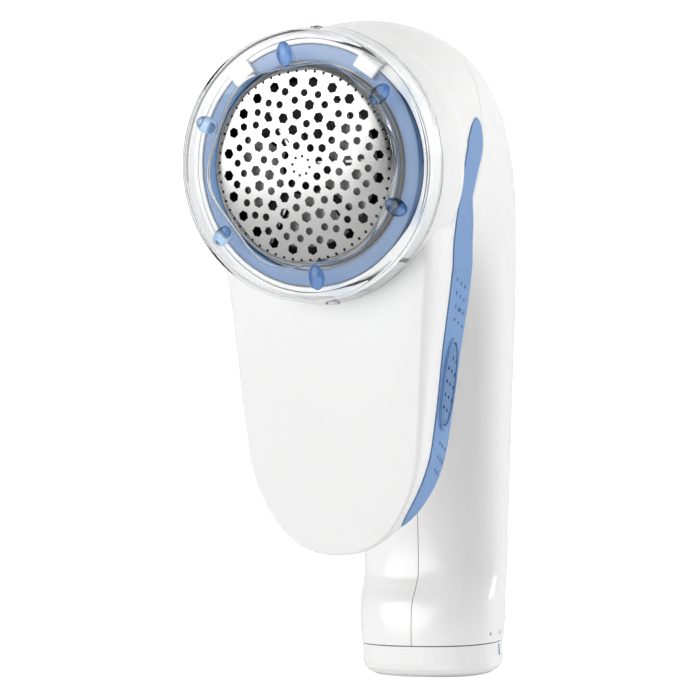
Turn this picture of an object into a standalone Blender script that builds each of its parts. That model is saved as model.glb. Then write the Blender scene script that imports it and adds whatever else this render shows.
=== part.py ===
"""Battery fabric shaver: a round shaving head on a shield-shaped body, with a separate handle behind it.

Lengths are in millimetres in this file and the helpers turn them into metres.
Frame: +Z up along the handle, -Y the way the shaving head faces, +X the side with the power button.
Origin: centre of the flat underside of the battery cap, which the shaver stands on.
"""
import math

import bmesh
import bpy
from mathutils import Matrix, Vector

MM = 0.001

# ---- driving dimensions (mm) ----
RING_Z = 130.0            # height of the shaving head's axis
RING_Y = -59.0            # plane of the blue ring's front face
DRUM_R = 33.0             # outer radius of the head drum
DRUM_FRONT_Y = -54.6
DRUM_REAR_Y = -38.0
SPIGOT_R = 32.0           # the guard slips over this collar
SPIGOT_IN_R = 31.0
SPIGOT_FRONT_Y = -58.6
FACE_Y = -53.0            # flat front of the shield
SHIELD_BOTTOM_Z = 35.5
SHIELD_ROUND_H = 26.0     # height of the shield's rounded lower end
SHIELD_HALF_W = 27.8      # at SHIELD_W_Z
SHIELD_MAX_HALF_W = 28.6  # behind the head
SHIELD_W_Z = 98.0
SHIELD_TAPER = 0.12
WALL = 1.8
GAP = 0.3                 # clearance between neighbouring pieces
CAP_TOP_Z = 8.1
SHELL_BOTTOM_Z = 8.4
CELL_R = 7.1              # AA cell
CELL_X = 7.5
CELL_Y = 3.6
CELL_BOTTOM_Z = 11.5
CELL_LENGTH = 49.3
SHAFT_R = 1.0
MOTOR_R = 12.0
MOTOR_FRONT_Y = -41.0
MOTOR_REAR_Y = -15.0
BUTTON_Y = -40.2
BUTTON_Z = 76.0
BUTTON_TILT = math.radians(7.8)       # the oval leans back along the grip
BUTTON_TAPER = math.atan(SHIELD_TAPER)  # its face follows the tapering side wall

# Handle and arch: (inner Y, inner Z, outer Y, outer Z, half width), from the drum over the top to the cap.
ARCH = (
    (-50.0, 99.0, -50.0, 163.4, 28.6),
    (-41.0, 99.6, -41.0, 164.0, 28.6),
    (-32.0, 102.0, -27.0, 165.3, 28.1),
    (-26.0, 104.5, -13.2, 164.3, 27.4),
    (-20.5, 105.0, 0.6, 160.3, 26.6),
    (-15.0, 103.0, 12.2, 151.2, 25.6),
    (-10.0, 98.5, 19.2, 136.8, 24.4),
    (-6.8, 91.0, 21.2, 118.0, 23.2),
    (-5.6, 80.0, 20.8, 98.0, 22.1),
    (-5.6, 69.0, 19.2, 78.0, 21.1),
    (-5.8, 56.0, 17.6, 60.0, 20.3),
    (-6.0, 41.0, 15.8, 42.0, 19.5),
    (-6.7, 27.5, 14.3, 27.5, 19.0),
    (-8.6, 23.0, 14.0, 23.0, 18.95),
    (-11.3, 19.0, 13.8, 19.0, 18.9),
    (-12.4, 14.0, 13.5, 14.0, 18.8),
    (-12.7, SHELL_BOTTOM_Z, 12.7, SHELL_BOTTOM_Z, 18.4),
)
ARCH_SQUARE_IN = (4.5, 2.4)    # squareness of the inner side, at the head and at the base
ARCH_SQUARE_OUT = (2.05, 2.5)  # the same for the outer side
ARCH_STEPS = 2                 # sections between two rows of ARCH
ARCH_AROUND = 28

# Shield side wall: height, and how far its rear edge is behind the face.
SHIELD_DEPTH = ((35.5, 2.6), (39.0, 4.2), (42.0, 7.0), (45.0, 9.6), (48.5, 12.0), (53.0, 14.1), (60.0, 15.9),
                (72.0, 18.3), (84.0, 20.2), (96.0, 23.0), (104.0, 24.6), (160.0, 24.7))
# Rounding of the shield's front edge: height, reach in from the side, reach back from the face.
SHIELD_EDGE = ((35.5, 0.9, 0.9), (52.0, 1.0, 1.2), (62.0, 1.4, 1.9), (73.0, 1.75, 2.5), (86.0, 2.2, 4.3),
               (98.0, 2.6, 6.5), (160.0, 2.6, 6.5))

# Soft grip: centre line (Y, Z) and half width along Y, down each side of the shield.
GRIP_LINE = (
    (-21.6, 140.1, 0.5), (-21.9, 139.1, 2.1), (-22.6, 137.6, 3.5), (-24.8, 132.2, 5.7),
    (-28.5, 126.2, 5.2), (-31.8, 120.2, 4.6), (-34.2, 114.2, 4.9), (-35.7, 108.2, 5.4), (-37.1, 96.1, 5.5), (-39.2, 84.1, 5.1), (-40.5, 72.1, 4.6),
    (-42.5, 60.2, 4.35), (-44.3, 53.1, 4.3), (-45.9, 48.4, 3.8), (-47.2, 44.9, 2.8), (-48.3, 42.3, 0.3),
)
# Seam between the front shell and the two rear shells, seen from the side.
SEAM = ((-11.2, 172.0), (-11.5, 164.0), (-12.6, 157.5), (-14.6, 150.0), (-17.2, 141.5), (-17.8, 132.0),
        (-21.4, 126.0), (-25.2, 120.0), (-27.4, 114.0), (-27.9, 108.0), (-27.9, 100.0))

COLOURS = {
    "white_gloss": ((0.90, 0.90, 0.90), 0.18, 0.0),
    "white_satin": ((0.84, 0.84, 0.84), 0.40, 0.0),
    "blue_plastic": ((0.13, 0.30, 0.60), 0.35, 0.0),
    "blue_grip": ((0.16, 0.34, 0.66), 0.60, 0.0),
    "clear": ((0.93, 0.96, 0.98), 0.05, 0.0),
    "steel": ((0.70, 0.70, 0.71), 0.25, 1.0),
    "brass": ((0.75, 0.58, 0.28), 0.30, 1.0),
    "copper": ((0.72, 0.38, 0.22), 0.35, 1.0),
    "black_plastic": ((0.03, 0.03, 0.03), 0.45, 0.0),
    "magnet": ((0.08, 0.08, 0.09), 0.60, 0.0),
    "battery": ((0.10, 0.11, 0.12), 0.35, 0.3),
    "red_wire": ((0.55, 0.03, 0.02), 0.45, 0.0),
    "black_wire": ((0.02, 0.02, 0.02), 0.45, 0.0),
}


# ---- scene and mesh helpers ----
def clear_scene():
    for obj in list(bpy.data.objects):
        bpy.data.objects.remove(obj, do_unlink=True)


def new_collection(name):
    coll = bpy.data.collections.new(name)
    bpy.context.scene.collection.children.link(coll)
    return coll


def material(name):
    if name in bpy.data.materials:
        return bpy.data.materials[name]
    mat = bpy.data.materials.new(name)
    mat.use_nodes = True
    colour, roughness, metallic = COLOURS[name]
    shader = mat.node_tree.nodes["Principled BSDF"]
    shader.inputs["Base Color"].default_value = (*colour, 1.0)
    shader.inputs["Roughness"].default_value = roughness
    shader.inputs["Metallic"].default_value = metallic
    if name == "clear":
        shader.inputs["Transmission Weight"].default_value = 1.0
    return mat


clear_scene()
PARTS = new_collection("fabric_shaver")
CUTTERS = new_collection("cutters")


def own(obj, name, coll, finish=None):
    """Name an object and keep it in one collection."""
    obj.name = name
    for other in list(obj.users_collection):
        other.objects.unlink(obj)
    coll.objects.link(obj)
    if finish:
        obj.data.materials.clear()
        obj.data.materials.append(material(finish))
    obj.hide_render = coll is CUTTERS
    obj.display_type = "WIRE" if coll is CUTTERS else "TEXTURED"
    return obj


def from_bmesh(bm, name, coll, finish=None):
    bmesh.ops.recalc_face_normals(bm, faces=bm.faces)
    mesh = bpy.data.meshes.new(name)
    bm.to_mesh(mesh)
    bm.free()
    obj = bpy.data.objects.new(name, mesh)
    coll.objects.link(obj)
    return own(obj, name, coll, finish)


def bake(obj):
    """Turn an object's modifiers, rotation and scale into plain mesh."""
    bpy.context.view_layer.update()
    depsgraph = bpy.context.evaluated_depsgraph_get()
    mesh = bpy.data.meshes.new_from_object(obj.evaluated_get(depsgraph))
    mesh.transform(obj.matrix_world)
    if obj.type != "MESH":
        raise TypeError("bake() takes meshes only")
    obj.modifiers.clear()
    obj.data = mesh
    obj.matrix_world = Matrix.Identity(4)
    return obj


def tidy(obj):
    """Merge the slivers that a Boolean leaves."""
    bm = bmesh.new()
    bm.from_mesh(obj.data)
    bmesh.ops.remove_doubles(bm, verts=bm.verts, dist=0.005 * MM)
    bmesh.ops.dissolve_degenerate(bm, edges=bm.edges, dist=0.002 * MM)
    bm.to_mesh(obj.data)
    bm.free()
    return obj


def boolean(obj, other, operation="DIFFERENCE", keep=False):
    mod = obj.modifiers.new("boolean", "BOOLEAN")
    mod.operation = operation
    mod.solver = "EXACT"
    mod.object = other
    bake(obj)
    tidy(obj)
    if not keep:
        bpy.data.objects.remove(other, do_unlink=True)
    return obj


def copy_of(obj, name, coll=CUTTERS, finish=None):
    twin = obj.copy()
    twin.data = obj.data.copy()
    coll.objects.link(twin)
    return own(twin, name, coll, finish)


def smooth(obj, angle=35.0):
    obj.data.shade_smooth()
    obj.data.set_sharp_from_angle(angle=math.radians(angle))
    return obj


def loft(name, rings, coll, finish=None, caps=True):
    """A closed skin through rings of (x, y, z) points, with the same number in each ring."""
    bm = bmesh.new()
    rows = [[bm.verts.new(Vector(p) * MM) for p in ring] for ring in rings]
    count = len(rows[0])
    for low, high in zip(rows, rows[1:]):
        for i in range(count):
            j = (i + 1) % count
            bm.faces.new((low[i], low[j], high[j], high[i]))
    if caps:
        bm.faces.new(rows[0])
        bm.faces.new(rows[-1])
    bmesh.ops.remove_doubles(bm, verts=bm.verts, dist=0.02 * MM)
    bmesh.ops.dissolve_degenerate(bm, edges=bm.edges, dist=0.01 * MM)
    return from_bmesh(bm, name, coll, finish)


def prism(name, outline, low, high, axis, coll=CUTTERS, finish=None):
    """A flat outline pushed along one axis: "X" takes (y, z), "Y" takes (x, z), "Z" takes (x, y)."""
    place = {"X": lambda p, d: (d, p[0], p[1]), "Y": lambda p, d: (p[0], d, p[1]),
             "Z": lambda p, d: (p[0], p[1], d)}[axis]
    return loft(name, [[place(p, d) for p in outline] for d in (low, high)], coll, finish)


def box(name, low, high, coll=CUTTERS, finish=None, bevel=0.0):
    size = [(b - a) * MM for a, b in zip(low, high)]
    middle = [(a + b) / 2 * MM for a, b in zip(low, high)]
    bpy.ops.mesh.primitive_cube_add(size=1.0, location=middle)
    obj = own(bpy.context.object, name, coll, finish)
    obj.scale = size
    bpy.context.view_layer.update()
    bake(obj)
    if bevel:
        round_edges(obj, bevel)
    return obj


def round_edges(obj, width, segments=1, angle=50.0):
    mod = obj.modifiers.new("bevel", "BEVEL")
    mod.width = width * MM
    mod.segments = segments
    mod.limit_method = "ANGLE"
    mod.angle_limit = math.radians(angle)
    return bake(obj)


def cylinder(name, radius, low, high, axis, centre=(0.0, 0.0), coll=CUTTERS, finish=None, sides=24):
    """A round bar between two values on one axis; centre is the other two coordinates in order."""
    mid = (low + high) / 2
    spots = {"X": (mid, *centre), "Y": (centre[0], mid, centre[1]), "Z": (*centre, mid)}
    turns = {"X": (0, math.pi / 2, 0), "Y": (math.pi / 2, 0, 0), "Z": (0, 0, 0)}
    bpy.ops.mesh.primitive_cylinder_add(vertices=sides, radius=radius * MM, depth=abs(high - low) * MM,
                                        location=Vector(spots[axis]) * MM, rotation=turns[axis])
    return bake(own(bpy.context.object, name, coll, finish))


def turned(name, profile, axis, centre, coll=PARTS, finish=None, steps=32, closed=True):
    """A profile of (radius, distance along the axis) turned with a Screw modifier.

    The profile runs down the outer side first. On the "Y" axis the distance is the world Y value,
    on "Z" the world Z value; centre is (x, z) or (x, y). A closed profile makes a ring, an open one
    starts and ends on the axis.
    """
    bm = bmesh.new()
    verts = [bm.verts.new((r * MM, 0.0, (-d if axis == "Y" else d) * MM)) for r, d in profile]
    for first, second in zip(verts, verts[1:]):
        bm.edges.new((first, second))
    if closed:
        bm.edges.new((verts[-1], verts[0]))
    mesh = bpy.data.meshes.new(name)
    bm.to_mesh(mesh)
    bm.free()
    obj = own(bpy.data.objects.new(name, mesh), name, coll, finish)
    screw = obj.modifiers.new("screw", "SCREW")
    screw.axis = "Z"
    screw.steps = steps
    screw.render_steps = steps
    screw.use_merge_vertices = True
    screw.merge_threshold = 0.00001
    if axis == "Y":
        obj.rotation_euler = (math.pi / 2, 0, 0)
        obj.location = Vector((centre[0], 0.0, centre[1])) * MM
    else:
        obj.location = Vector((centre[0], centre[1], 0.0)) * MM
    bake(obj)
    bm = bmesh.new()
    bm.from_mesh(obj.data)
    bmesh.ops.remove_doubles(bm, verts=bm.verts, dist=0.01 * MM)
    bmesh.ops.recalc_face_normals(bm, faces=bm.faces)
    bm.to_mesh(obj.data)
    bm.free()
    return obj


def wire(name, points, radius, finish):
    """A round wire along a POLY spline, made a mesh with welded end caps."""
    curve = bpy.data.curves.new(name, "CURVE")
    curve.dimensions = "3D"
    curve.bevel_depth = radius * MM
    curve.bevel_resolution = 2
    curve.use_fill_caps = True
    spline = curve.splines.new("POLY")
    spline.points.add(len(points) - 1)
    for spot, point in zip(spline.points, points):
        spot.co = (*(Vector(point) * MM), 1.0)
    source = bpy.data.objects.new(name + "_path", curve)
    CUTTERS.objects.link(source)
    bpy.context.view_layer.update()
    mesh = bpy.data.meshes.new_from_object(source.evaluated_get(bpy.context.evaluated_depsgraph_get()))
    bm = bmesh.new()
    bm.from_mesh(mesh)
    bmesh.ops.remove_doubles(bm, verts=bm.verts, dist=0.005 * MM)
    bpy.data.objects.remove(source, do_unlink=True)
    return smooth(from_bmesh(bm, name, PARTS, finish))


# ---- curves that the shapes share ----
def spline_rows(rows, steps):
    """Rows of numbers with Catmull-Rom rows between them."""
    out = []
    last = len(rows) - 1
    for i in range(last):
        p0, p1, p2, p3 = rows[max(i - 1, 0)], rows[i], rows[i + 1], rows[min(i + 2, last)]
        for k in range(steps):
            t = k / steps
            out.append(tuple(0.5 * (2 * b + (c - a) * t + (2 * a - 5 * b + 4 * c - d) * t * t
                                    + (3 * b - a - 3 * c + d) * t ** 3)
                             for a, b, c, d in zip(p0, p1, p2, p3)))
    out.append(tuple(rows[last]))
    return out


def arch_rings(inset, steps=ARCH_STEPS, around=ARCH_AROUND):
    """Sections of the arch and handle, drawn in by inset all round."""
    rows = spline_rows(ARCH, steps)
    rings = []
    for n, (in_y, in_z, out_y, out_z, half) in enumerate(rows):
        share = n / (len(rows) - 1)
        inner, outer = Vector((in_y, in_z)), Vector((out_y, out_z))
        middle = (inner + outer) / 2
        reach = (outer - inner) / 2
        reach *= (reach.length - inset) / reach.length
        ring = []
        for k in range(around):
            angle = 2 * math.pi * (k + 0.5) / around
            side, up = math.cos(angle), math.sin(angle)
            ends = ARCH_SQUARE_OUT if up > 0 else ARCH_SQUARE_IN
            power = 2 / (ends[0] + (ends[1] - ends[0]) * min(1.0, share * 1.4))
            x = math.copysign(abs(side) ** power, side) * (half - inset)
            spot = middle + reach * math.copysign(abs(up) ** power, up)
            ring.append((x, spot.x, spot.y))
        rings.append(ring)
    return rings


def arch_solid(name, inset, bottom=SHELL_BOTTOM_Z, steps=ARCH_STEPS, around=ARCH_AROUND):
    """The solid arch and handle. A bottom below the shell's end carries the last section straight down."""
    rings = arch_rings(inset, steps, around)
    if bottom < SHELL_BOTTOM_Z:
        rings.append([(x, y, bottom) for x, y, _ in rings[-1]])
    return loft(name, rings, CUTTERS)


def arch_hollow():
    """The room inside the arch and handle, open at the bottom, in coarser sections than the skin."""
    return arch_solid("arch_hollow", WALL - 0.3, -5.0, steps=1, around=24)


def shield_half_width(z):
    return min(SHIELD_MAX_HALF_W, SHIELD_HALF_W + SHIELD_TAPER * (z - SHIELD_W_Z))


def between(rows, z):
    """The values after the height in rows of (height, value, ...), worked out for one height."""
    z = min(max(z, rows[0][0]), rows[-1][0])
    for low, high in zip(rows, rows[1:]):
        if z <= high[0]:
            share = (z - low[0]) / (high[0] - low[0])
            return [a + (b - a) * share for a, b in zip(low[1:], high[1:])]


def shield_outline(bottom_z, round_h, inset=0.0, top_z=RING_Z):
    """Half of the shield's outline as (x, z), from the bottom up the +X side to the top.

    inset is a distance, or a function that gives the distance for a height.
    """
    half = []
    for k in range(12):
        beta = math.pi / 2 * (k / 12) ** 0.9
        z = bottom_z + round_h * (1 - math.cos(beta))
        half.append((shield_half_width(z) * math.sin(beta) ** 0.8, z))
    straight = bottom_z + round_h
    half += [(shield_half_width(z), z) for z in (straight, 73.0, 85.0, 96.0, 105.0, 118.0)]
    radius = shield_half_width(top_z)
    half += [(radius * math.cos(a), top_z + radius * math.sin(a)) for a in
             (math.pi / 2 * k / 6 for k in range(6))]
    half.append((0.0, top_z + radius))
    reach = inset if callable(inset) else lambda z: inset
    moved = []
    for i, (x, z) in enumerate(half):
        before = half[i - 1] if i else (-half[1][0], half[1][1])
        after = half[i + 1] if i + 1 < len(half) else (-half[-2][0], half[-2][1])
        along = Vector((after[0] - before[0], after[1] - before[1])).normalized()
        moved.append((max(0.0, x - along.y * reach(z)), z + along.x * reach(z)))
    moved[0] = (0.0, moved[0][1])
    moved[-1] = (0.0, moved[-1][1])
    return moved


def shield_solid(name, grow=0.0, bottom_z=SHIELD_BOTTOM_Z, round_h=SHIELD_ROUND_H):
    """The shield as a solid: flat front with a rounded edge, side wall, rounded rear edge.

    grow moves every surface outwards; a negative value gives the hollow inside.
    """
    def ring(y_at, inset, spread=1.0):
        points = [(x * spread, y_at(z), z) for x, z in shield_outline(bottom_z, round_h, inset)]
        return points + [(-x, y, z) for x, y, z in reversed(points[1:-1])]

    def front_ring(turn, spread=1.0):
        return ring(lambda z: FACE_Y - grow + between(SHIELD_EDGE, z)[1] * (1 - math.cos(turn)),
                    lambda z: between(SHIELD_EDGE, z)[0] * (1 - math.sin(turn)) - grow, spread)

    def rear_ring(turn, spread=1.0):
        def y_at(z):
            edge = FACE_Y - grow + between(SHIELD_EDGE, z)[1] + 0.3
            return max(edge, FACE_Y + between(SHIELD_DEPTH, z)[0] + grow - 1.6 * (1 - math.sin(turn)))
        return ring(y_at, 1.6 * (1 - math.cos(turn)) - grow, spread)

    quarter = math.pi / 2
    rings = [front_ring(0.0, 0.0), front_ring(0.0, 0.5)] + [front_ring(quarter * k / 3) for k in range(4)]
    rings += [rear_ring(quarter * k / 2) for k in range(3)] + [rear_ring(quarter, 0.5), rear_ring(quarter, 0.0)]
    return loft(name, rings, CUTTERS, caps=False)


def oval(half_long, half_wide, count=24):
    """A superellipse outline (along, across)."""
    points = []
    for k in range(count):
        angle = 2 * math.pi * k / count
        c, s = math.cos(angle), math.sin(angle)
        points.append((math.copysign(abs(c) ** 0.85, c) * half_long, math.copysign(abs(s) ** 0.85, s) * half_wide))
    return points


def seam_prism(name, offset):
    """Everything in front of the seam, as a wide prism; offset moves the seam towards the rear."""
    edge = [(y + offset, z) for y, z in SEAM]
    outline = [(-90.0, SEAM[0][1])] + edge + [(SEAM[-1][0] + offset, 20.0), (-90.0, 20.0)]
    return prism(name, outline, -60.0, 60.0, "X")


def grip_prism(name, grow, side):
    """The grip's outline seen from the side, pushed out from the shield's middle."""
    rows = spline_rows(GRIP_LINE, 2)
    ends = {0: grow, len(rows) - 1: -grow}
    front = [(y - half - grow, z + ends.get(i, 0.0)) for i, (y, z, half) in enumerate(rows)]
    back = [(y + half + grow, z + ends.get(i, 0.0)) for i, (y, z, half) in enumerate(rows)]
    grip = prism(name, front + back[::-1], side * 10.0, side * 40.0, "X")
    edge = [p for p in shield_outline(SHIELD_BOTTOM_Z, SHIELD_ROUND_H, 2.4 + grow) if p[1] < 108.0]
    edge.append((edge[-1][0], 108.0 - 2 * grow))
    return boolean(grip, prism("inside", edge + [(-x, z) for x, z in reversed(edge[1:])], -70.0, -20.0, "Y"))


# ---- casing ----
def drum(name, grow=0.0):
    """The head's drum. Its rear edge is tight at the top and runs out into the side walls lower down."""
    radius = DRUM_R + grow
    front, rear = DRUM_FRONT_Y - grow, DRUM_REAR_Y + grow
    sides = [2 * math.pi * k / 48 for k in range(48)]

    def ring(shape):
        points = []
        for angle in sides:
            r, y = shape(min(1.0, max(0.0, (26.0 - radius * math.sin(angle)) / 26.0)))
            points.append((r * math.cos(angle), y, RING_Z + r * math.sin(angle)))
        return points

    rings = [ring(lambda t: (0.0, front)), ring(lambda t: (radius - 0.6, front)),
             ring(lambda t: (radius, front + 0.6))]
    for inward, back in ((0.0, 1.0), (0.13, 0.5), (0.5, 0.134), (1.0, 0.0)):
        rings.append(ring(lambda t: (radius - (2.0 + 2.2 * t) * inward, rear - (2.0 + 4.0 * t) * back)))
    return loft(name, rings + [ring(lambda t: (0.0, rear))], CUTTERS, caps=False)


def outer_skin(name, grow):
    """The whole casing's outer shape as one solid, moved outwards by grow."""
    solid = boolean(shield_solid(name, grow), drum("drum", grow), "UNION")
    return boolean(solid, arch_solid("arch", -grow), "UNION")


def bin_outline(grow):
    """The lint bin's outline from the front: straight sides, rounded bottom."""
    half_w, bottom, top, round_h = 15.0 + grow, 49.0 - grow, 97.0 + grow, 14.0
    right = [(half_w * math.sin(math.pi / 2 * k / 8) ** 0.8, bottom + round_h * (1 - math.cos(math.pi / 2 * k / 8)))
             for k in range(1, 9)] + [(half_w, top)]
    return [(0.0, bottom)] + right + [(-x, z) for x, z in reversed(right)]


def button_place(obj):
    """Moves a shape made around the origin, facing +X, to the button's seat on the side wall."""
    seat = Matrix.Translation(Vector((shield_half_width(BUTTON_Z), BUTTON_Y, BUTTON_Z)) * MM)
    turn = Matrix.Rotation(BUTTON_TAPER, 4, "Y") @ Matrix.Rotation(-BUTTON_TILT, 4, "X")
    obj.data.transform(seat @ turn)
    return obj


def button_oval(name, half_long, half_wide, low, high):
    """An oval block along X; its long way is Z."""
    return prism(name, [(w, l) for l, w in oval(half_long, half_wide)], low, high, "X")


def make_shells():
    pocket_floor = outer_skin("pocket_floor", -1.1)
    grip_floor = outer_skin("grip_floor", -0.85)
    grip_top = outer_skin("grip_top", 0.35)

    front = boolean(shield_solid("front_shell"), drum("drum"), "UNION")
    collar = cylinder("collar", SPIGOT_R, SPIGOT_FRONT_Y, -50.0, "Y", (0, RING_Z), sides=48)
    boolean(front, collar, "UNION")
    front_arch = boolean(arch_solid("front_arch", 0.0), seam_prism("seam", -GAP / 2), "INTERSECT")
    boolean(front, front_arch, "UNION")
    boolean(front, cylinder("bore", SPIGOT_IN_R, -70.0, DRUM_REAR_Y - WALL, "Y", (0, RING_Z), sides=48))
    boolean(front, shield_solid("shield_hollow", -WALL, bottom_z=45.5, round_h=17.0))
    boolean(front, arch_hollow())
    boolean(front, prism("bin_opening", bin_outline(GAP), -49.0, -20.0, "Y"))

    for side, label in ((1, "right"), (-1, "left")):
        pocket = grip_prism("pocket_" + label, 0.25, side)
        boolean(pocket, pocket_floor, keep=True)
        boolean(front, pocket)
        grip = boolean(grip_prism("grip_" + label, 0.0, side), grip_top, "INTERSECT", keep=True)
        boolean(grip, grip_floor, keep=True)
        boolean(grip, seam_prism("grip_limit", -0.5), "INTERSECT")
        own(grip, "grip_" + label, PARTS, "blue_grip")
        if side == 1:
            boolean(grip, button_place(button_oval("rim", 11.05, 3.6, -0.4, 0.95)), "UNION")
            boolean(grip, button_place(button_oval("grip_hole", 10.2, 3.1, -6.0, 6.0)))
            boolean(front, button_place(button_oval("shell_hole", 10.2, 3.1, -6.0, 6.0)))
        smooth(grip)
    smooth(own(front, "front_shell", PARTS, "white_gloss"))
    for helper in (pocket_floor, grip_floor, grip_top):
        bpy.data.objects.remove(helper, do_unlink=True)

    rear = boolean(arch_solid("rear", 0.0), arch_hollow())
    boolean(rear, seam_prism("seam", GAP / 2))
    for side, label in ((1, "right"), (-1, "left")):
        half = copy_of(rear, "rear_shell_" + label)
        reach = sorted((side * GAP / 2, side * 60.0))
        boolean(half, box("half_space", (reach[0], -100, -20), (reach[1], 100, 200)), "INTERSECT")
        for y, z, radius in CASE_SCREWS:
            post = cylinder("post", radius, reach[0], reach[1], "X", (y, z), sides=12)
            boolean(post, arch_solid("post_end", 0.9), "INTERSECT")
            boolean(half, post, "UNION")
            boolean(half, cylinder("screw_hole", 1.35, -9.0 if side < 0 else 0.0, 0.0 if side < 0 else 9.0, "X",
                                   (y, z), sides=8))
            if side < 0:
                boolean(half, cylinder("counterbore", 2.5, -30.0, -8.3, "X", (y, z), sides=10))
        smooth(own(half, "rear_shell_" + label, PARTS, "white_gloss"))
    bpy.data.objects.remove(rear, do_unlink=True)


# Screws that join the two rear shells: (Y, Z, post radius)
CASE_SCREWS = ((-7.4, 15.0, 3.3), (13.5, 84.0, 3.6), (5.0, 150.0, 3.6))


def make_case_screws():
    for number, (y, z, _) in enumerate(CASE_SCREWS, 1):
        screw = cylinder("case_screw_%d" % number, 1.0, -9.0, 7.5, "X", (y, z), PARTS, "steel", sides=12)
        head = cylinder("head", 2.1, -10.2, -8.7, "X", (y, z), sides=16)
        boolean(screw, head, "UNION")
        slot = box("slot", (-10.6, y - 1.5, z - 0.3), (-9.7, y + 1.5, z + 0.3))
        boolean(screw, slot)
        smooth(own(screw, "case_screw_%d" % number, PARTS, "steel"))


def make_button():
    body = button_oval("power_button", 9.9, 2.8, -2.6, 0.8)
    round_edges(body, 0.3, 1, 60)
    boolean(body, button_oval("flange", 11.4, 2.4, -3.2, -2.25), "UNION")
    boolean(body, cylinder("stem", 1.4, -4.2, -3.0, "X", sides=16), "UNION")
    smooth(own(button_place(body), "power_button", PARTS, "blue_plastic"))
    switch = box("switch_body", (-8.9, -3.2, -6.5), (-5.8, 3.2, 6.5), bevel=0.3)
    own(button_place(switch), "switch_body", PARTS, "black_plastic")


def make_lint_bin():
    tray = prism("lint_bin", bin_outline(0.0), -49.5, -20.0, "Y")
    boolean(tray, shield_solid("bin_back"), "INTERSECT")
    hollow = prism("bin_hollow", [(x, z + (10.0 if z > 96.0 else 0.0)) for x, z in bin_outline(-1.5)],
                   -60.0, -20.0, "Y")
    boolean(hollow, shield_solid("bin_room", -1.6, bottom_z=40.0), "INTERSECT")
    boolean(tray, hollow)
    smooth(own(tray, "lint_bin", PARTS, "white_satin"))


# ---- shaving head ----
def make_guard():
    profile = [(22.0, -64.2), (30.6, -64.2), (31.9, -63.7), (32.5, -62.6), (32.7, -61.0), (33.1, -58.6),
               (33.5, -55.0), (32.5, -55.0), (32.4, -58.9), (32.0, -61.0), (31.7, -62.0), (31.1, -62.7),
               (30.3, -63.0), (22.0, -63.0)]
    guard = turned("clear_guard", profile, "Y", (0, RING_Z), PARTS, "clear", steps=40)
    opening = []
    for k in range(36):
        angle = 2 * math.pi * k / 36
        radius = 24.2 - 0.8 * math.cos(6 * (angle - math.radians(96.6)))
        opening.append((radius * math.cos(angle), RING_Z + radius * math.sin(angle)))
    boolean(guard, prism("guard_opening", opening, -70.0, -60.0, "Y"))
    smooth(own(guard, "clear_guard", PARTS, "clear"))


def make_foil_set():
    frame_profile = [(30.7, -58.9), (30.7, -50.0), (29.6, -50.0), (29.6, -55.4), (25.0, -55.4), (25.0, -56.9),
                     (29.6, -56.9), (29.6, -58.9)]
    frame = turned("head_frame", frame_profile, "Y", (0, RING_Z), PARTS, "white_satin", steps=48)
    for turn in (-36.0, 36.0):
        hook = prism("hook", [(-60.4, 27.0), (-60.4, 30.2), (-60.1, 30.5), (-57.6, 30.5), (-57.6, 29.75),
                              (-59.3, 29.75), (-59.3, 26.8), (-60.2, 26.8)], -3.0, 3.0, "X")
        hook.data.transform(Matrix.Translation((0, 0, RING_Z * MM)) @ Matrix.Rotation(math.radians(turn), 4, "Y"))
        boolean(frame, hook, "UNION")
    smooth(own(frame, "head_frame", PARTS, "white_satin"))

    ring_profile = [(28.7, -59.0), (29.3, -58.4), (29.3, -57.2), (25.5, -57.2), (25.5, -58.6), (25.9, -59.0)]
    smooth(turned("foil_ring", ring_profile, "Y", (0, RING_Z), PARTS, "blue_plastic", steps=48))

    dome = [(r, y) for r, y in FOIL_DOME]
    foil_profile = dome + [(23.6, -62.0), (24.3, -61.2), (24.6, -60.0), (24.6, -55.8), (24.25, -55.8),
                           (24.25, -60.0), (23.95, -61.0), (23.4, -61.65)]
    foil_profile += [(r - 0.05 if r else 0.0, y + FOIL_THICK) for r, y in reversed(dome)]
    foil = turned("foil", foil_profile, "Y", (0, RING_Z), PARTS, "steel", steps=36, closed=False)
    boolean(foil, foil_holes())
    smooth(own(foil, "foil", PARTS, "steel"))


FOIL_DOME = ((0.0, -63.95), (5.0, -63.87), (10.0, -63.68), (15.0, -63.3), (20.0, -62.8), (22.4, -62.45))
FOIL_THICK = 0.35
# Rings of holes in the foil: (circle radius, number of holes, hole radius, phase in steps)
FOIL_RINGS = ((19.8, 24, 1.25, 0.0), (15.0, 16, 1.15, 0.5), (10.2, 10, 1.15, 0.0), (5.4, 5, 1.1, 0.5))


def foil_holes():
    """All the foil's holes as one cutter of separate six-sided bars."""
    bm = bmesh.new()
    for circle, count, size, phase in FOIL_RINGS:
        for k in range(count):
            angle = 2 * math.pi * (k + phase) / count
            middle = Vector((circle * math.cos(angle), -63.2, RING_Z + circle * math.sin(angle))) * MM
            spot = Matrix.Translation(middle) @ Matrix.Rotation(-angle, 4, "Y") @ Matrix.Rotation(math.pi / 2, 4, "X")
            bmesh.ops.create_cone(bm, cap_ends=True, segments=6, radius1=size * MM, radius2=size * MM,
                                  depth=3.0 * MM, matrix=spot)
    return from_bmesh(bm, "foil_holes", CUTTERS)


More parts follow.
